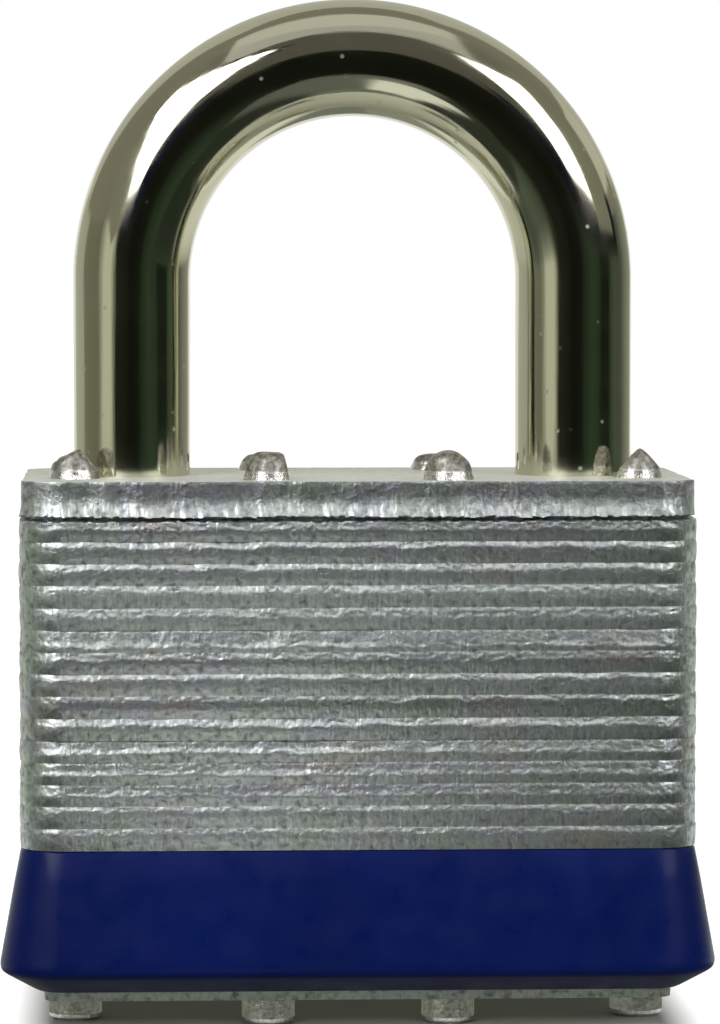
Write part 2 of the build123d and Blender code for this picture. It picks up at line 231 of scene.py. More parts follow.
def peenedSteel():
    # Mild steel rivet, plated and then peened: a dull hammered cap over a smoother skirt whose lighter colour
    # is a painted highlight round the head's base, with a satin grain and dark specks in the dents.
    grain = {"patch": (0.8, 3), "speck": (0.35, 3), "grit": (0.1, 2)}
    material, tree, shader, _, (patch, speck, grit) = newMaterial("peenedRivetSteel", grain)
    burnish = addNode(tree, "Attribute", {"attribute_name": "burnish"}).outputs["Fac"]
    cap = addNode(tree, "ValToRGB", {"stops": [
        (0.34, linear("#73716b")), (0.5, linear("#94928c")), (0.66, linear("#b4b3ad"))]}, {"Fac": speck})
    # painted highlight: the skirt's colours are lighter than the cap's, and its roughness is lower
    skirtHighlight = addNode(tree, "ValToRGB", {"stops": [
        (0.34, linear("#bab9b3")), (0.6, linear("#e2e2de"))]}, {"Fac": speck})
    rubAndHighlight = addNode(tree, "Math", {"operation": "MULTIPLY_ADD", 1: 0.6}, {0: patch, 2: burnish})
    share = addNode(tree, "MapRange", {"From Min": 0.35, "From Max": 0.65}, {"Value": rubAndHighlight.outputs[0]})
    tint = addNode(tree, "Mix", {"data_type": "RGBA"},
                   {0: share.outputs[0], 6: cap.outputs["Color"], 7: skirtHighlight.outputs["Color"]})
    rough = addNode(tree, "MapRange", {"To Min": 0.48, "To Max": 0.26}, {"Value": share.outputs[0]})
    relief = addNode(tree, "Math", {"operation": "MULTIPLY_ADD", 1: 2.0}, {0: speck, 2: grit})
    bump = addNode(tree, "Bump", {"Strength": 0.5, "Distance": 0.06 * mm}, {"Height": relief.outputs[0]})
    shader.inputs["Metallic"].default_value = 1.0
    linkInputs(tree, shader, {"Base Color": tint.outputs[2], "Roughness": rough.outputs[0],
                              "Normal": bump.outputs[0]})
    return material


def platedRod():
    # Hardened steel rod, polished and nickel plated: near-mirror, faintly warm, with lengthwise polishing
    # lines and patches of small pits in the plate.
    lineWidth, lineLength, pitSpacing, pitRadius = 0.35, 9.0, 1.6, 0.24  # mm
    material, tree, shader, place, (haze,) = newMaterial("polishedNickelPlate", {"haze": (4.0, 3)})
    rodPlace = addNode(tree, "Attribute", {"attribute_name": "rodPlace"}).outputs["Vector"]
    squeeze = (1, 1, lineWidth / lineLength)
    drawn = addNode(tree, "VectorMath", {"operation": "MULTIPLY", 1: squeeze}, {0: rodPlace}).outputs[0]
    line = addNode(tree, "TexNoise", {"Scale": 1 / lineWidth, "Detail": 3}, {"Vector": drawn}).outputs["Fac"]
    cells = addNode(tree, "TexVoronoi", {"Scale": 1 / pitSpacing}, {"Vector": place})
    dot = addNode(tree, "MapRange", {"From Min": 0.0, "From Max": pitRadius / pitSpacing,
                                     "To Min": 1.0, "To Max": 0.0}, {"Value": cells.outputs["Distance"]})
    patch = addNode(tree, "MapRange", {"From Min": 0.5, "From Max": 0.54}, {"Value": haze})
    pit = addNode(tree, "Math", {"operation": "MULTIPLY"}, {0: dot.outputs[0], 1: patch.outputs[0]})
    rough = addNode(tree, "MapRange", {"From Min": 0.3, "From Max": 0.7, "To Min": 0.06, "To Max": 0.13},
                    {"Value": haze})
    roughness = addNode(tree, "Math", {"operation": "MULTIPLY_ADD", 1: 0.45},
                        {0: pit.outputs[0], 2: rough.outputs[0]})
    dip = addNode(tree, "Math", {"operation": "MULTIPLY_ADD", 1: -0.4}, {0: pit.outputs[0], 2: line})
    bump = addNode(tree, "Bump", {"Strength": 0.25, "Distance": 0.03 * mm}, {"Height": dip.outputs[0]})
    shader.inputs["Metallic"].default_value = 1.0
    shader.inputs["Base Color"].default_value = linear("#cdcbb6")
    linkInputs(tree, shader, {"Roughness": roughness.outputs[0], "Normal": bump.outputs[0]})
    return material


def mouldedBlue():
    # Injection moulded vinyl, deep blue, semi-gloss from a lightly sparked tool, with slow colour drift
    # and a few rub marks that dull the gloss.
    grain = {"drift": (9.0, 2), "spark": (0.25, 2), "rub": (2.2, 4)}
    material, tree, shader, _, (drift, spark, rub) = newMaterial("mouldedBlueVinyl", grain)
    tint = addNode(tree, "ValToRGB", {"stops": [
        (0.3, linear("#021148")), (0.7, linear("#041653"))]}, {"Fac": drift})
    rough = addNode(tree, "MapRange", {"From Min": 0.35, "From Max": 0.7, "To Min": 0.27, "To Max": 0.4},
                    {"Value": rub})
    bump = addNode(tree, "Bump", {"Strength": 0.25, "Distance": 0.03 * mm}, {"Height": spark})
    shader.inputs["IOR"].default_value = 1.5
    shader.inputs["Specular IOR Level"].default_value = 0.15
    linkInputs(tree, shader, {"Base Color": tint.outputs["Color"], "Roughness": rough.outputs[0],
                              "Normal": bump.outputs[0]})
    return material


def turnedMetal(name, dark, bright, roughLow, roughHigh):
    # Machined metal of the lock works: fine turning rings read as a tight grain, with a little oil film.
    grain = {"ring": (0.18, 2), "film": (2.5, 3)}
    material, tree, shader, _, (ring, film) = newMaterial(name, grain)
    tint = addNode(tree, "ValToRGB", {"stops": [
        (0.35, linear(dark)), (0.65, linear(bright))]}, {"Fac": film})
    rough = addNode(tree, "MapRange",
                    {"From Min": 0.3, "From Max": 0.7, "To Min": roughLow, "To Max": roughHigh},
                    {"Value": film})
    bump = addNode(tree, "Bump", {"Strength": 0.2, "Distance": 0.02 * mm}, {"Height": ring})
    shader.inputs["Metallic"].default_value = 1.0
    linkInputs(tree, shader, {"Base Color": tint.outputs["Color"], "Roughness": rough.outputs[0],
                              "Normal": bump.outputs[0]})
    return material


zinc = zincPlate()
rivetSteel = peenedSteel()
nickel = platedRod()
blueVinyl = mouldedBlue()
slotMaterials = {
    "plated_steel_plate": zinc,
    "rivet_steel": rivetSteel,
    "plated_shackle": nickel,
    "bumper_plastic": blueVinyl,
    "brass": turnedMetal("machinedBrass", "#a5823f", "#c9a75c", 0.24, 0.36),
    "hardened_steel": turnedMetal("oiledHardenedSteel", "#5a5b5d", "#7d7e80", 0.3, 0.42),
    "spring_steel": turnedMetal("drawnSpringWire", "#696a6d", "#929396", 0.26, 0.36),
}
nodeSlot = {row["node"]: row["material_slot"] for row in frame["record"]["subparts"]}
for nodeName, nodeObject in frame["nodes"].items():
    nodeObject.data.materials.clear()
    nodeObject.data.materials.append(slotMaterials[nodeSlot[nodeName]])
print("materials made:", len(slotMaterials))


# Plates

plateLook = {
    "step": 0.17,            # mm between points round the edge
    "rows": 24,              # points up the edge
    "cornerRadius": 3.4,
    "footCornerRadius": 1.6,
    "slip": 0.04,            # sideways slip of a plate in the stack
    "holeShine": 0.6,        # burnish in the holes
    "underLean": 13,         # degrees that the lower part of an edge looks down
    "underReach": (0.15, 0.62),  # share of the thickness over which that fades
    "rimLean": 25,           # degrees that the torn rim leans back
    "rimWidth": 0.21,        # mm, half the rim's height
    "rimWander": 0.04,       # mm that the rim wanders up and down
    "widthWander": 0.2,      # shares that its width and its lean wander
    "leanWander": 0.25,
    "rimDull": 0.8,          # share of the burnish that the rim loses
    "backLean": 7,           # degrees, between the rim and the plate's top
    "lump": 0.018,           # mm, beads along the rim
    "grain": 0.45,           # mm, length of a bead
    "beadShift": 0.12,       # mm that a bead's dent lies above or below the rim
    "beadHeight": 0.6,       # height of a dent over the rim's width
    "drift": 3.0,            # mm, length of a slow wander
    "gapHeight": 0.12,       # mm, height of a rounded top corner
    "gapWander": 0.3,        # share that it wanders
    "gapDepth": 0.02,        # mm, depth of a rounded top corner
    "openGap": 0.8,          # mm, the same under the top plate, where the stack stands open
    "cornerShare": 0.15,     # the rounded corners lean this much as far
    "sideShare": 0.5,        # and the short sides this much
    "sideFrom": 0.97,        # sideways part of the outward direction from which an edge is a short side
    "rimMargin": 0.5,        # a hole's edge is at least this far inside the outline
    "fade": (-4, 8),         # mm along x, where the left lean passes to the right one
    # lists from the lowest plate up: the rim's depth below the plate's top in mm, its share of the lean at
    # the left and at the right of the front, and how far the tear roughens the rest of the edge
    "rimDrop": [0.1, 0.12, 0.62, 0.74, 0.72, 0.34, 0.1, 0.12, 0.32, 1.1, 0.4, 0.22, 0.18, 0.18, 0.55],
    "leftShare": [0.25, 0.35, 0.48, 0.75, 0.9, 0.85, 0.2, 0.83, 0.4, 1.0, 0.42, 0.68, 0.97, 0.92, 0.38],
    "rightShare": [0.12, 0.2, 0.2, 0.36, 0.6, 0.6, 0.28, 0.62, 0.12, 0.6, 0.1, 0.34, 0.55, 0.85, 0.2],
    "torn": [0.3, 0.3, 0.15, 0.3, 0.45, 0.3, 0.0, 0.4, 0.1, 0.6, 0.8, 1.0, 0.45, 0.3, 0.1],
    # the bottom plate's rim depth, leans, tear, corner depth and lower lean
    "foot": (0.2, 0.3, 0.3, 0.3, 0.02, 20),
}


# The hole edges of a plate's flat face: the edges that only one of its triangles has, away from the outline.
def plateHoles(node, halfX, halfY):
    mesh = frame["nodes"][node].data
    points = np.empty(len(mesh.vertices) * 3)
    mesh.vertices.foreach_get("co", points)
    points = points.reshape(-1, 3) / mm
    mesh.calc_loop_triangles()
    corners = np.empty(len(mesh.loop_triangles) * 3, dtype=np.int32)
    mesh.loop_triangles.foreach_get("vertices", corners)
    flat = points[corners.reshape(-1, 3)]
    top = points[:, 2].max()
    flat = flat[np.abs(flat[:, :, 2] - top).max(axis=1) < 0.01][:, :, :2]
    places, index = np.unique(np.round(flat.reshape(-1, 2), 3), axis=0, return_inverse=True)
    index = index.reshape(-1, 3)
    edges = np.concatenate([index[:, [0, 1]], index[:, [1, 2]], index[:, [2, 0]]])
    order = np.sort(edges, axis=1)
    first, uses = np.unique(order, axis=0, return_index=True, return_counts=True)[1:]
    edges = edges[first[uses == 1]]
    gap = np.minimum(halfX - np.abs(places[:, 0]), halfY - np.abs(places[:, 1]))
    radius, margin = plateLook["cornerRadius"], plateLook["rimMargin"]
    corner = np.hypot(*(np.abs(places) - [halfX - radius, halfY - radius]).clip(0).T)
    inside = (gap > margin) & (corner < radius - margin)
    edges = edges[inside[edges].all(axis=1)]
    used, edges = np.unique(edges, return_inverse=True)
    return places[used], edges.reshape(-1, 2)


# One flat face between an outer loop and the hole edges, as triangles over those same points.
def fillFlat(outer, holes, holeEdges):
    count = len(outer)
    loop = np.stack([np.arange(count), np.roll(np.arange(count), -1)], axis=-1)
    places = np.vstack([outer, holes])
    edges = np.vstack([loop, holeEdges + count])
    filled = geometry.delaunay_2d_cdt([Vector(p) for p in places.tolist()], edges.tolist(), [], 2, 1e-5)
    return np.array(filled[2]), len(filled[0]) == len(places)


# A plate: the edge profile carried round the outline, two flats, and straight walls in the holes.
# The edge function gives offsets, heights and burnish, a row for each point up the edge and a column for each
# point round it.
def makePlate(node, radius, edge, *settings):
    low, high = boxMm(node)
    halfX, halfY = high[0], high[1]
    outline, outward, length = roundedOutline(halfX, halfY, radius, plateLook["step"])
    offsets, heights, burnish = edge(outline, outward, length, high[2] - low[2], *settings)
    rows, count = offsets.shape
    wall = np.empty((rows, count, 3))
    wall[:, :, :2] = outline + outward * offsets[:, :, None]
    wall[:, :, 2] = low[2] + heights
    wall[0, :, 2] = low[2]
    wall[-1, :, 2] = high[2]
    holes, holeEdges = plateHoles(node, halfX, halfY)
    lowFace, lowWhole = fillFlat(wall[0, :, :2], holes, holeEdges)
    highFace, highWhole = fillFlat(wall[-1, :, :2], holes, holeEdges)
    if not (lowWhole and highWhole):
        print("flat face gained points on", node)
    holeLow = np.column_stack([holes, np.full(len(holes), low[2])])
    holeHigh = np.column_stack([holes, np.full(len(holes), high[2])])
    points = np.vstack([wall.reshape(-1, 3), holeLow, holeHigh])
    startLow = rows * count
    startHigh = startLow + len(holes)
    lowIndex = np.concatenate([np.arange(count), startLow + np.arange(len(holes))])
    highIndex = np.concatenate([(rows - 1) * count + np.arange(count), startHigh + np.arange(len(holes))])
    triangles = np.vstack([lowIndex[lowFace][:, ::-1], highIndex[highFace]])
    wallQuads = gridQuads(rows, count)
    holeQuads = np.column_stack([startLow + holeEdges[:, 1], startLow + holeEdges[:, 0],
                                 startHigh + holeEdges[:, 0], startHigh + holeEdges[:, 1]])
    smooth = np.concatenate([burnish.ravel(), np.full(2 * len(holes), plateLook["holeShine"])])
    slip = rng.uniform(-plateLook["slip"], plateLook["slip"], 2)
    points[:rows * count, :2] += slip
    quads = np.vstack([wallQuads, holeQuads])
    flat = np.repeat([0.0, 1.0], [len(quads), len(triangles)])
    piece = makePiece(node + "_sheared", points, quads, triangles, zinc, {"burnish": smooth, "flat": flat})
    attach(piece, "lock_body")
    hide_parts(node)


# Offsets of an edge from its lean in degrees: minus the running sum of the lean's slope up the edge, moved so
# that the proudest point lies on the outline. The corners and the short sides lean less.
def leanOffsets(lean, heights, outward):
    slope = np.tan(np.radians(lean))
    steps = np.diff(heights, axis=0) * (slope[1:] + slope[:-1]) / 2
    offsets = -np.vstack([np.zeros_like(slope[:1]), np.cumsum(steps, axis=0)])
    offsets -= offsets.max(axis=0)
    look = plateLook
    corner, side = look["cornerShare"], look["sideShare"]
    turned = np.abs(outward[:, 0])
    atSide = smoothStep(look["sideFrom"], 1, turned)
    return offsets * (1 - (1 - corner) * turned ** 2 + (side - corner) * atSide)


# Edge of a blanked plate: the lower part looks down, the middle is upright and burnished, and a torn rim, a
# bell curve about its height, leans back. The rim's height, width and lean wander slowly, and beads dent it.
def blankedEdge(outline, outward, length, thickness, drop, left, right, torn, roll, under):
    look = plateLook
    beads = smoothNoise(len(outward), length, look["grain"], rows=3)
    slow = smoothNoise(len(outward), length, look["drift"], rows=3)
    heights = np.linspace(0, thickness, look["rows"])[:, None] + 0 * slow[0]
    place = thickness - drop + look["rimWander"] * slow[0]
    width = look["rimWidth"] * wander(look["widthWander"], slow[1], 0.6, 1.5)
    share = left + (right - left) * smoothStep(*look["fade"], outline[:, 0])
    steep = share * wander(look["leanWander"], slow[2], 0.4, 1.5)
    rim = np.exp(-((heights - place) / width) ** 2)
    above = smoothStep(0, 1, (heights - place) / width)
    below = 1 - smoothStep(*look["underReach"], heights / thickness)
    lean = steep * look["rimLean"] * rim + look["backLean"] * above - under * below
    offsets = leanOffsets(lean, heights, outward)
    dent = np.exp(-((heights - place - look["beadShift"] * beads[1]) / (look["beadHeight"] * width)) ** 2)
    offsets -= look["lump"] * np.clip(1.5 + beads[0], 0, 3) * dent
    gap = look["gapHeight"] * wander(look["gapWander"], beads[2], 0.4, 1.6)
    offsets -= roll * np.exp(-((thickness - heights) / gap) ** 4)
    return offsets, heights, (1 - torn) * (1 - look["rimDull"] * np.maximum(rim, below / 2))


topLook = {
    "rows": 28,
    "band": 1.7,        # mm, height of the torn band
    "footLean": 37,     # degrees that it leans back at its foot
    "roll": 0.8,        # mm, depth and height of the open gap at its foot
    "rollHeight": 0.13,
    "rim": 0.03,        # mm, broken top corner
    "score": 0.045,     # mm, upright scores
    "grain": 0.35,      # mm, width of a score
    "slant": 0.35,      # mm that a score runs sideways up the band
    "bandWander": 0.08,  # shares that the band's height, its lean and the gap wander
    "leanWander": 0.1,
    "gapWander": (0.3, 0.15),
    "shine": 0.75,      # burnish of the upright band
    "tornDull": 0.65,   # and what the torn band loses of it
}


# Edge of the thick top plate: a rounded foot, a torn and scored band that leans back most at its foot, and an
# upright burnished band above it. The scores are noise along the edge, moved sideways with height.
def topPlateEdge(outline, outward, length, thickness):
    look = topLook
    count = len(outward)
    scores = smoothNoise(count, length, look["grain"], rows=3)
    slow = smoothNoise(count, length, plateLook["drift"], rows=2)
    share = np.linspace(0, 1, look["rows"])[:, None]
    heights = thickness * share ** 1.5 + 0 * slow[0]  # rows crowd towards the foot
    band = look["band"] * wander(look["bandWander"], slow[0], 0.7, 1.3)
    torn = np.clip(1 - heights / band, 0, 1)
    lean = look["footLean"] * wander(look["leanWander"], slow[1], 0.7, 1.3) * torn
    offsets = leanOffsets(lean, heights, outward)
    walked = np.arange(count) + look["slant"] / plateLook["step"] * heights / thickness
    slanted = np.interp(walked % count, np.arange(count + 1), np.append(scores[0], scores[0][0]))
    offsets -= look["score"] * np.clip(1.5 + slanted, 0, 3) * torn ** 1.5
    fine, coarse = look["gapWander"]
    gap = look["rollHeight"] * np.clip(1 + fine * scores[1] + coarse * slow[1], 0.4, 1.8)
    offsets -= look["roll"] * np.exp(-(heights / gap) ** 4)
    offsets -= look["rim"] * np.exp(-((thickness - heights) / look["rim"]) ** 2)
    return offsets, heights, look["shine"] - look["tornDull"] * np.sqrt(torn)


bodyPlates = sorted(name for name in frame["nodes"] if name.startswith("body_plate_"))
rimLists = [plateLook[key] for key in ("rimDrop", "leftShare", "rightShare", "torn")]
for plateName, *rim in zip(bodyPlates, *rimLists):
    roll = plateLook["openGap" if plateName == bodyPlates[-1] else "gapDepth"]
    makePlate(plateName, plateLook["cornerRadius"], blankedEdge, *rim, roll, plateLook["underLean"])
makePlate("top_plate", plateLook["cornerRadius"], topPlateEdge)
makePlate("bottom_plate", plateLook["footCornerRadius"], blankedEdge, *plateLook["foot"])
print("plates made:", len(bodyPlates) + 2)


# Rivets: a turned tail, a shank and a peened head. The head's reach in a direction is the soft least over a
# set of hammer planes: one over the p-norm of (direction . plane normal / plane distance).

rivetLook = {
    "places": [(x, side * y) for side in (-1, 1)  # front row, left to right, then the back row
               for x, y in ((-21.4, 5.8), (-6.8, 8.5), (6.8, 8.5), (21.4, 5.8))],
    "shank": 1.5,
    "head": 2.0,
    "tailChamfer": 0.25,
    "backHead": 1.3 / 2.2,  # height of a back head over that of a front one
    # hammer planes: how many stand round the head, the rise of their normals in degrees, and their distance
    # from its middle in mm
    "planes": [(24, 15, 1.97), (6, 34, 2.1), (4, 60, 2.26), (1, 85, 2.2)],
    # random changes of a plane: turn and rise in radians, and share of its distance
    "strayTurn": 0.1,
    "strayRise": 0.06,
    "strayReach": 0.05,
    # the last blows on each front head, left to right: degrees from right over the top to left, and mm
    "blows": [[(119, 1.83), (41, 1.77)],
              [(90, 2.1), (138, 2.15), (12, 1.62)],
              [(114, 2.15), (142, 2.1), (50, 2.05)],
              [(43, 1.78), (138, 1.35)]],
    "noBlow": (90, 9),  # too far out to cut a back head
    "sharpness": 40,
    # heights where the head's painted highlight, lighter and smoother, fades into the dull cap
    "skirtHighlight": (0.4, 0.8),  # mm above the plate, where the bright skirt passes to the dull cap
    "skirtShineAndHighlight": 0.6,
    "sides": 60,
    "headRows": 16,
}


def makeRivets():
    look = rivetLook
    low = boxMm("rivets")[0]
    seat, tailTop = boxMm("top_plate")[1][2], boxMm("bottom_plate")[0][2]
    around = np.linspace(0, 2 * np.pi, look["sides"], endpoint=False)
    rise = np.radians(np.linspace(0, 90, look["headRows"] + 1)[:-1])[:, None]
    reachWay = np.stack([np.cos(rise) * np.cos(around), np.cos(rise) * np.sin(around),
                         np.sin(rise) + 0 * around], axis=-1)
    count = len(look["places"])
    turn = np.concatenate([np.arange(n) / n for n, rises, far in look["planes"]]) * 2 * np.pi
    tilt = np.concatenate([np.full(n, math.radians(rises)) for n, rises, far in look["planes"]])
    distance = np.concatenate([np.full(n, far) for n, rises, far in look["planes"]])
    strayTurn, strayRise = look["strayTurn"], look["strayRise"]
    turn = turn + rng.uniform(-strayTurn, strayTurn, (count, len(turn))) + rng.uniform(0, 6, (count, 1))
    tilt = tilt + rng.uniform(-strayRise, strayRise, turn.shape)
    distance = distance * (1 - rng.uniform(0, look["strayReach"], turn.shape))
    normal = np.stack([np.cos(tilt) * np.cos(turn), np.cos(tilt) * np.sin(turn), np.sin(tilt)], axis=-1)
    struck = look["blows"] + [[look["noBlow"]]] * (count - len(look["blows"]))
    blows = np.array([(blow * 3)[:3] for blow in struck])  # three each, repeated where there are fewer
    way = np.radians(blows[:, :, 0])
    normal = np.concatenate([normal, np.stack([np.cos(way), 0 * way, np.sin(way)], axis=-1)], axis=1)
    distance = np.concatenate([distance, blows[:, :, 1]], axis=1)
    lean = np.einsum("rsi,cpi->crsp", reachWay, normal / distance[:, :, None]).clip(0)
    reach = (lean ** look["sharpness"]).sum(axis=-1) ** (-1 / look["sharpness"])
    tall = np.where(np.array(look["places"])[:, 1] < 0, 1, look["backHead"])
    head = reach[:, :, :, None] * reachWay
    head[:, :, :, 2] = seat + head[:, :, :, 2] * tall[:, None, None]
    poleLean = (normal[:, :, 2] / distance).clip(0)
    pole = (poleLean ** look["sharpness"]).sum(axis=-1) ** (-1 / look["sharpness"])
    profile = np.array([[look["head"] - look["tailChamfer"], low[2]],
                        [look["head"], low[2] + look["tailChamfer"]],
                        [look["head"], tailTop], [look["shank"], tailTop], [look["shank"], seat]])
    ring = np.stack([np.cos(around), np.sin(around)], axis=-1)
    stem = np.concatenate([profile[:, None, :1] * ring, profile[:, None, 1:] + 0 * ring[:, :1]], axis=-1)
    stem = np.broadcast_to(stem, (count, *stem.shape))
    body = np.concatenate([stem, head], axis=1)
    rows, sides = body.shape[1], look["sides"]
    ends = np.zeros((count, 2, 3))
    ends[:, 0, 2], ends[:, 1, 2] = low[2], seat + pole * tall
    each = np.concatenate([body.reshape(count, -1, 3), ends], axis=1)
    each[:, :, :2] += np.array(look["places"])[:, None, :]
    start = np.arange(count)[:, None, None] * each.shape[1]
    quads = (gridQuads(rows, sides) + start).reshape(-1, 4)
    first, last = np.arange(sides), (rows - 1) * sides + np.arange(sides)
    caps = np.vstack([fanTriangles(first, rows * sides)[:, ::-1], fanTriangles(last, rows * sides + 1)])
    # burnish on the rivets carries the painted highlight: near the plate the head is coloured lighter as well
    # as smoother
    burnish = look["skirtShineAndHighlight"] * (1 - smoothStep(*look["skirtHighlight"], each[:, :, 2] - seat))
    piece = makePiece("peened_rivets", each.reshape(-1, 3), quads, (caps + start).reshape(-1, 3), rivetSteel,
                      {"burnish": burnish.ravel()})
    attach(piece, "lock_body")
    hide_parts("rivets")


makeRivets()
print("rivets made")


# Shackle: a round section carried up the heel leg, over a half circle and down the toe leg.
# A stretch is start, end, rows, radius at each end, and whether the latch notch cuts the inner side flat.

shackleLook = {
    "bend": 17.0,
    "radius": 4.5,
    "archHeight": 56.1,
    "heelFoot": 14.65,
    "toeFoot": 28.7,
    "groove": (16.95, 20.45, 2.3),  # heights and core radius of the ring groove on the heel
    "notch": (29.95, 33.45, 2.3),   # heights and the flat's distance from the leg's middle
    "heelChamfer": 0.8,
    "toeChamfer": 1.1,
    "edge": 0.05,                   # width of a cut's broken corner
    "bendGap": 0.3,                 # between a leg's last ring of points and the bend's first
    "chamferGap": 0.1,              # and between a chamfer's and a leg's
    "inset": 0.015,                 # the waves stay this far inside the solid rod
    "wave": 0.012,                  # polishing waves
    "waveTurn": 0.06,               # radians that a wave turns along a millimetre of rod
    "sides": 112,
}


def makeShackle():
    look = shackleLook
    r, edge, gap, lip = look["radius"], look["edge"], look["bendGap"], look["chamferGap"]
    heel = look["archHeight"] - look["heelFoot"]
    bendEnd = heel + np.pi * look["bend"]
    toeEnd = bendEnd + look["archHeight"] - look["toeFoot"]
    grooveLow, grooveHigh, core = look["groove"]
    notchLow, notchHigh, flat = look["notch"]
    g0, g1, n0, n1 = np.array([grooveLow, grooveHigh, notchLow, notchHigh]) - look["heelFoot"]
    t0, t1 = bendEnd + look["archHeight"] - np.array([notchHigh, notchLow])
    stretches = [
        (0, look["heelChamfer"], 3, r - look["heelChamfer"], r, 0),
        (look["heelChamfer"] + lip, g0, 4, r, r, 0),
        (g0 + edge, g1 - edge, 5, core, core, 0), (g1, n0, 14, r, r, 0), (n0 + edge, n1 - edge, 7, r, r, 1),
        (n1, heel, 60, r, r, 0), (heel + gap, bendEnd - gap, 170, r, r, 0), (bendEnd, t0, 60, r, r, 0),
        (t0 + edge, t1 - edge, 7, r, r, 1), (t1, toeEnd - look["toeChamfer"], 2, r, r, 0),
        (toeEnd - look["toeChamfer"] + lip, toeEnd, 3, r - lip, r - look["toeChamfer"], 0)]
    along = np.concatenate([np.linspace(s[0], s[1], s[2]) for s in stretches])
    radius = np.concatenate([np.linspace(s[3], s[4], s[2]) for s in stretches])
    cut = np.concatenate([np.full(s[2], s[5]) for s in stretches])
    around = np.linspace(0, 2 * np.pi, look["sides"], endpoint=False)
    turn = np.pi - np.clip((along - heel) / look["bend"], 0, np.pi)
    outward = np.stack([np.cos(turn), np.sin(turn)], axis=-1)
    height = np.where(along < heel, look["heelFoot"] + along, look["archHeight"])
    height = np.where(along > bendEnd, look["archHeight"] - (along - bendEnd), height)
    centre = look["bend"] * outward
    centre[:, 1] = np.where((along > heel) & (along < bendEnd), look["archHeight"] + centre[:, 1], height)
    outward[:, 1] = np.where((along > heel) & (along < bendEnd), outward[:, 1], 0)
    waves = sum(rng.normal() * np.cos(k * around + look["waveTurn"] * m * along[:, None] + rng.uniform(0, 6))
                for k in (2, 3, 4, 5) for m in (-3, -1, 1, 2))
    reach = radius[:, None] - look["inset"] - look["wave"] + look["wave"] * np.clip(waves / 4, -1, 1)
    out, side = reach * np.cos(around), reach * np.sin(around)
    out = np.where((cut[:, None] == 1) & (out < -flat), -flat, out)
    points = np.stack([centre[:, :1] + outward[:, :1] * out, side,
                       centre[:, 1:] + outward[:, 1:] * out], axis=-1)
    rows, sides = points.shape[:2]
    ends = np.array([[-look["bend"], 0, look["heelFoot"]], [look["bend"], 0, look["toeFoot"]]])
    rodPlace = np.stack([out, side, along[:, None] + 0 * out], axis=-1).reshape(-1, 3)
    rodPlace = np.vstack([rodPlace, [[0, 0, 0], [0, 0, toeEnd]]])
    caps = np.vstack([fanTriangles(np.arange(sides), rows * sides)[:, ::-1],
                      fanTriangles((rows - 1) * sides + np.arange(sides), rows * sides + 1)])
    piece = makePiece("polished_shackle", np.vstack([points.reshape(-1, 3), ends]),
                      gridQuads(rows, sides), caps, nickel, {"rodPlace": rodPlace})
    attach(piece, "shackle")
    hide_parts("shackle")


makeShackle()
print("shackle made")


# Bumper: one closed section carried round the body's outline, as offset from it and height.

bumperLook = {
    "cornerRadius": 3.4,
    "step": 0.5,
    "section": [  # mm out from the body's sides, and height, from the inner top edge round the outside
        (-2.05, 13.5), (-0.3, 13.5), (-0.16, 13.46), (-0.05, 13.3), (0.4, 11.0), (0.9, 8.2), (1.3, 6.0),
        (1.44, 5.2), (1.49, 4.9), (1.49, 4.65), (1.44, 4.42), (1.3, 4.22), (1.0, 4.02), (0.2, 3.58),
        (-1.0, 2.92), (-1.3, 2.78), (-1.45, 2.75), (-1.75, 2.75), (-1.75, 5.3), (-2.05, 5.3)],
}


def makeBumper():
    look = bumperLook
    halfX, halfY = boxMm("body_plate_01")[1][:2]
    outline, outward = roundedOutline(halfX, halfY, look["cornerRadius"], look["step"])[:2]
    section = np.array(look["section"])
    points = np.empty((len(section), len(outline), 3))
    points[:, :, :2] = outline + section[:, None, :1] * outward
    points[:, :, 2] = section[:, 1:]
    quads = gridQuads(*points.shape[:2], joinRows=True)
    piece = makePiece("moulded_bumper", points.reshape(-1, 3), quads, [], blueVinyl)
    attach(piece, "lock_body")
    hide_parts("bumper")


makeBumper()
print("bumper made")


# Stage: camera, white surround and floor, softboxes, and a photographer's cards that only reflections see

view = {
    "lens": 165.3, "distance": 350.0, "azimuth": -2.65, "elevation": 3.05,
    "aim": (-0.05, -12.7, 38.86),  # mm, point of the front face at the picture's middle
}
azimuth, elevation = math.radians(view["azimuth"]), math.radians(view["elevation"])
towards = Vector((math.cos(elevation) * math.sin(azimuth), -math.cos(elevation) * math.cos(azimuth),
                  math.sin(elevation)))
camera = bpy.data.objects.new("camera", bpy.data.cameras.new("camera"))
scene.collection.objects.link(camera)
camera.location = (Vector(view["aim"]) + towards * view["distance"]) * mm
camera.rotation_euler = (-towards).to_track_quat("-Z", "Y").to_euler()
camera.data.lens = view["lens"]
camera.data.sensor_width = 36
camera.data.clip_start = 0.01
scene.camera = camera


def seenWhite(tree):  # 1 on camera, glossy and transmission rays, 0 on diffuse ones
    ray = addNode(tree, "LightPath")
    first = addNode(tree, "Math", {"operation": "MAXIMUM"},
                    {0: ray.outputs["Is Camera Ray"], 1: ray.outputs["Is Glossy Ray"]})
    both = addNode(tree, "Math", {"operation": "MAXIMUM"},
                   {0: first.outputs[0], 1: ray.outputs["Is Transmission Ray"]})
    return both.outputs[0]


world = bpy.data.worlds.new("studio")
world.use_nodes = True
scene.world = world
surround = addNode(world.node_tree, "Mix", {"data_type": "RGBA", 6: linear("#8c8e8c"), 7: linear("#ffffff")},
                   {0: seenWhite(world.node_tree)})
world.node_tree.links.new(surround.outputs[2], world.node_tree.nodes["Background"].inputs["Color"])


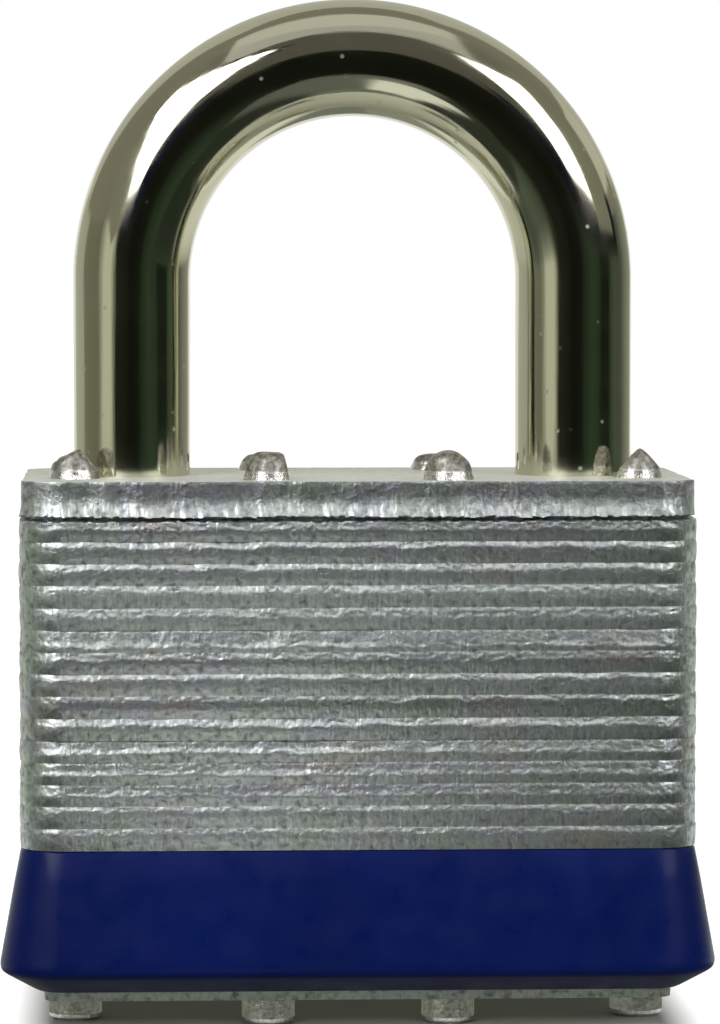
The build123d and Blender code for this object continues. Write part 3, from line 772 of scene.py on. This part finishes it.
# What only reflections see: a mesh that glows with the colour in its tone attribute.
reflected = bpy.data.materials.new("reflectedTone")
reflected.use_nodes = True
reflectedShader = reflected.node_tree.nodes["Principled BSDF"]
reflectedShader.inputs["Base Color"].default_value = (0, 0, 0, 1)
reflectedShader.inputs["Specular IOR Level"].default_value = 0
reflectedShader.inputs["Emission Strength"].default_value = 1
reflectedTone = addNode(reflected.node_tree, "Attribute", {"attribute_name": "tone"})
reflected.node_tree.links.new(reflectedTone.outputs["Color"], reflectedShader.inputs["Emission Color"])


def reflectionMesh(name, points, tones):  # a grid of points with a colour at each
    rows, columns = points.shape[:2]
    index = np.arange(rows * columns).reshape(rows, columns)
    quads = np.stack([index[:-1, :-1], index[:-1, 1:], index[1:, 1:], index[1:, :-1]], axis=-1).reshape(-1, 4)
    mesh = bpy.data.meshes.new(name)
    mesh.from_pydata((points.reshape(-1, 3) * mm).tolist(), [], quads.tolist())
    tone = mesh.attributes.new("tone", "FLOAT_COLOR", "POINT")
    tone.data.foreach_set("color", np.asarray(tones, dtype=np.float32).ravel())
    mesh.materials.append(reflected)
    card = bpy.data.objects.new(name, mesh)
    scene.collection.objects.link(card)
    card.visible_camera = card.visible_diffuse = card.visible_shadow = card.visible_transmission = False
    return card


# A card is an outline of radius and height in mm swept round the lock. Each outline point has stops of
# azimuth and colour, and the colour passes evenly from stop to stop.
def reflectionCard(name, outline, *toneRows):
    toneRows = toneRows * (len(outline) // len(toneRows))
    first, last = toneRows[0][0][0], toneRows[0][-1][0]
    degrees = np.linspace(first, last, int(last - first) + 1)
    turn = np.radians(degrees)[None, :]
    reach, height = np.array(outline)[:, :1], np.array(outline)[:, 1:]
    points = np.stack([reach * np.sin(turn), -reach * np.cos(turn), height + 0 * turn], axis=-1)
    tones = [[np.interp(degrees, [stop[0] for stop in row], [linear(stop[1])[i] for stop in row])
              for i in range(4)] for row in toneRows]
    reflectionMesh(name, points, np.moveaxis(np.array(tones), 1, 2))


def skyWay(angles):  # directions from azimuths and elevations in degrees
    a, e = np.moveaxis(np.radians(angles), -1, 0)
    return np.stack([np.cos(e) * np.sin(a), -np.cos(e) * np.cos(a), np.sin(e)], axis=-1)


boxLook = {
    "cloth": "#12120f",
    "clothGap": 2.0,  # mm that the cloth stands behind the lamp
    "flag": "#86877a",
    "flagGap": 8,     # mm that a flag stands before it
}


# A softbox seen from the lock between two azimuths and two elevations; glow is its radiance, 1 being white.
# Its cloth edge is a dark card behind it, wider by a few degrees, and roll turns both about the line to the
# lock. A flag is a grey card before it, with its corners as azimuth and elevation.
def softbox(name, azimuths, elevations, glow, distance=900.0, aim=(0, 0, 45), cloth=0.0, roll=0.0, flag=()):
    away = Vector(skyWay(np.array([sum(azimuths) / 2, sum(elevations) / 2])))
    e = math.radians(sum(elevations) / 2)
    light = bpy.data.lights.new(name, "AREA")
    light.shape = "RECTANGLE"
    light.size = 2 * distance * mm * math.tan(math.radians(azimuths[1] - azimuths[0]) / 2) * math.cos(e)
    light.size_y = 2 * distance * mm * math.tan(math.radians(elevations[1] - elevations[0]) / 2)
    light.energy = glow * math.pi * light.size * light.size_y
    lamp = bpy.data.objects.new(name, light)
    scene.collection.objects.link(lamp)
    lamp.location = (Vector(aim) + away * distance) * mm
    rolled = Quaternion((0, 0, 1), math.radians(roll))
    lamp.rotation_euler = (away.to_track_quat("Z", "Y") @ rolled).to_euler()
    lamp.visible_camera = False
    if cloth:
        edge = 2 * distance * math.tan(math.radians(cloth))
        size = np.array([light.size, light.size_y]) / mm + edge
        flat = np.array([[(-1, -1), (1, -1)], [(-1, 1), (1, 1)]]) * size / 2
        corners = np.dstack([flat, np.full((2, 2), boxLook["clothGap"])])
        card = reflectionMesh(name + "Cloth", corners, np.tile(linear(boxLook["cloth"]), (4, 1)))
        card.location, card.rotation_euler = lamp.location, lamp.rotation_euler
    if flag:
        ways = skyWay(np.array(flag))
        points = np.array(aim) + ways * (distance - boxLook["flagGap"]) / (ways @ np.array(away))[..., None]
        reflectionMesh(name + "Flag", points, np.tile(linear(boxLook["flag"]), (4, 1)))


softbox("leftBox", (-66, -18), (16, 47), 5.6, distance=450, cloth=3, roll=-9,
        flag=[[(-33, 10), (-74, 43)], [(-50, 8), (-80, 20)]])
softbox("rightBox", (29, 80), (16, 44), 4.3, cloth=2.5, flag=[[(60, 10), (60, 50)], [(92, 10), (92, 50)]])
softbox("overhead", (-56, 56), (50, 92), 0.42)

roomTones = [  # azimuth from the camera's side, and what stands there
    (-180, "#fbfcf7"), (-147, "#f4f5ee"), (-142, "#bec0b4"), (-112, "#b6b8ac"), (-106, "#7f8374"),
    (-72, "#787c6c"), (-65, "#a8ab9a"), (-60, "#d2d5c4"), (-44, "#d2d5c4"), (-38, "#8a8d7e"),
    (-33, "#23261c"), (-12, "#1d2019"), (-4, "#151812"), (12, "#1a1e17"), (20, "#2a3527"), (34, "#354434"),
    (48, "#2f3c2d"), (54, "#1a2119"), (70, "#1b2219"), (76, "#3f4b3b"), (86, "#515d4d"), (96, "#4a5547"),
    (106, "#5a6153"), (118, "#80857a"), (132, "#93968a"), (146, "#a5a89c"), (152, "#fbfcf7"),
    (180, "#fbfcf7")]
upperTones = [(-130, "#8d8c80"), (-80, "#8a897d"), (-24, "#5f5f57"), (28, "#5f5f57"), (100, "#8a897d"),
              (130, "#8d8c80")]
reflectionCard("roomWall", [(110, 0.5), (1200, 0.5), (1200, 330)], roomTones)
reflectionCard("upperRoom", [(1200, 330), (1200, 2400)], upperTones)
reflectionCard("upperBack", [(1200, 330), (1200, 2400)], [(130, "#c6c6bc"), (230, "#c6c6bc")])
reflectionCard("ceiling", [(1200, 2400), (1, 2400)], [(-180, "#8d8c80"), (180, "#8d8c80")])

# dark walls under the softboxes, and a pale one high on the right
reflectionCard("underLeft", [(1190, 130), (1190, 200), (1190, 430)], [(-36, "#1d2019"), (-8, "#151812")],
               [(-36, "#15152c"), (-8, "#15152c")], [(-36, "#17172e"), (-8, "#17172e")])
reflectionCard("underRight", [(1190, 150), (1190, 220), (1190, 430)], [(14, "#222a20"), (100, "#3a4537")],
               [(14, "#16171f"), (100, "#16171f")], [(14, "#17182a"), (100, "#17182a")])
reflectionCard("rightUpper", [(1195, 430), (1195, 900)], [(100, "#d2d2c6"), (130, "#d2d2c6")])

# the table: the lock's own shade, then lit and shaded parts, each ring further out
leftTones = [(-180, "#9a9f95"), (-158, "#9a9f95"), (-148, "#f4f8ee"), (-104, "#f4f8ee"), (-92, "#b8bdb3"),
             (-75, "#6c6f64"), (-60, "#383d34")]
rightTones = [(2, "#6c716a"), (22, "#6c716a"), (32, "#33382f"), (60, "#33382f"), (78, "#5a5f52"),
              (92, "#858a83"), (104, "#f4f8ee"), (148, "#f4f8ee"), (158, "#858a83"), (180, "#858a83")]
frontNear = [(-27, "#383d34"), (-21, "#f8fcf2"), (-2, "#f8fcf2")]
frontFar = [(-14, "#383d34"), (-6, "#858a83")]
reflectionCard("nearTable", [(34, 0.5), (82, 0.5)], leftTones + frontNear + rightTones)
reflectionCard("midTable", [(82, 0.5), (110, 0.5)], leftTones + frontFar + rightTones)
reflectionCard("shadedTable", [(1, 0.5), (34, 0.5)], [(-180, "#7c7f74"), (180, "#7c7f74")])
rightNear = [(40, "#2b332a"), (78, "#2f382d"), (90, "#b2b5a8"), (100, "#e8ebe0"), (150, "#e8ebe0")]
rightFar = [(40, "#354434"), (76, "#3f4b3b"), (96, "#4a5547"), (118, "#80857a"), (150, "#a5a89c")]
reflectionCard("rightTable", [(110, 0.8), (220, 0.8), (800, 0.8)], rightNear, rightNear, rightFar)
leftNear = [(-150, "#d8dace"), (-108, "#cccec2"), (-98, "#6f7664"), (-77, "#4c574a"), (-57, "#5d685a"),
            (-38, "#4c5548"), (-28, "#2b3029")]
leftFar = [(-150, "#bec0b4"), (-112, "#b6b8ac"), (-106, "#7f8374"), (-72, "#787c6c"), (-65, "#a8ab9a"),
           (-60, "#d2d5c4"), (-44, "#d2d5c4"), (-38, "#8a8d7e"), (-33, "#23261c"), (-28, "#21241b")]
reflectionCard("leftTable", [(110, 0.8), (220, 0.8), (800, 0.8)], leftNear, leftNear, leftFar)

floorLook = {
    "half": 3000,        # mm
    "colour": "#8e8e88",
    "glow": "#f4f4f4",   # how it is seen away from the lock
    "foot": (23, 10.5),  # mm, half size of the shade under the lock
    "fade": 3,           # mm past it over which the glow comes up
}
floorCorners = np.array([(-1, -1, 0), (1, -1, 0), (1, 1, 0), (-1, 1, 0)]) * floorLook["half"] * mm
floorMesh = bpy.data.meshes.new("floor")
floorMesh.from_pydata(floorCorners.tolist(), [], [(0, 1, 2, 3)])
paleFloor = bpy.data.materials.new("paleFloor")
paleFloor.use_nodes = True
floorShader = paleFloor.node_tree.nodes["Principled BSDF"]
floorShader.inputs["Base Color"].default_value = linear(floorLook["colour"])
floorShader.inputs["Roughness"].default_value = 0.9
floorShader.inputs["Emission Color"].default_value = linear(floorLook["glow"])
floorTree = paleFloor.node_tree
# Under the lock's footprint the glow is left off: a painted shade patch, in which the floor's real shadow
# also shows.
floorPlace = addNode(floorTree, "TexCoord").outputs["Object"]
floorSide = addNode(floorTree, "VectorMath", {"operation": "ABSOLUTE"}, {0: floorPlace})
foot = (*(reach * mm for reach in floorLook["foot"]), 0)
floorPast = addNode(floorTree, "VectorMath", {"operation": "SUBTRACT", 1: foot}, {0: floorSide.outputs[0]})
floorClear = addNode(floorTree, "VectorMath", {"operation": "MAXIMUM"}, {0: floorPast.outputs[0]})
floorFar = addNode(floorTree, "VectorMath", {"operation": "LENGTH"}, {0: floorClear.outputs[0]})
floorGlowPastPaintedShade = addNode(floorTree, "MapRange", {"From Max": floorLook["fade"] * mm},
                    {"Value": floorFar.outputs["Value"]})
floorSeen = addNode(floorTree, "Math", {"operation": "MULTIPLY"},
                    {0: floorGlowPastPaintedShade.outputs[0], 1: seenWhite(floorTree)})
floorTree.links.new(floorSeen.outputs[0], floorShader.inputs["Emission Strength"])
floorMesh.materials.append(paleFloor)
floor = bpy.data.objects.new("floor", floorMesh)
scene.collection.objects.link(floor)

scene.view_settings.view_transform = "Standard"
print("stage set")
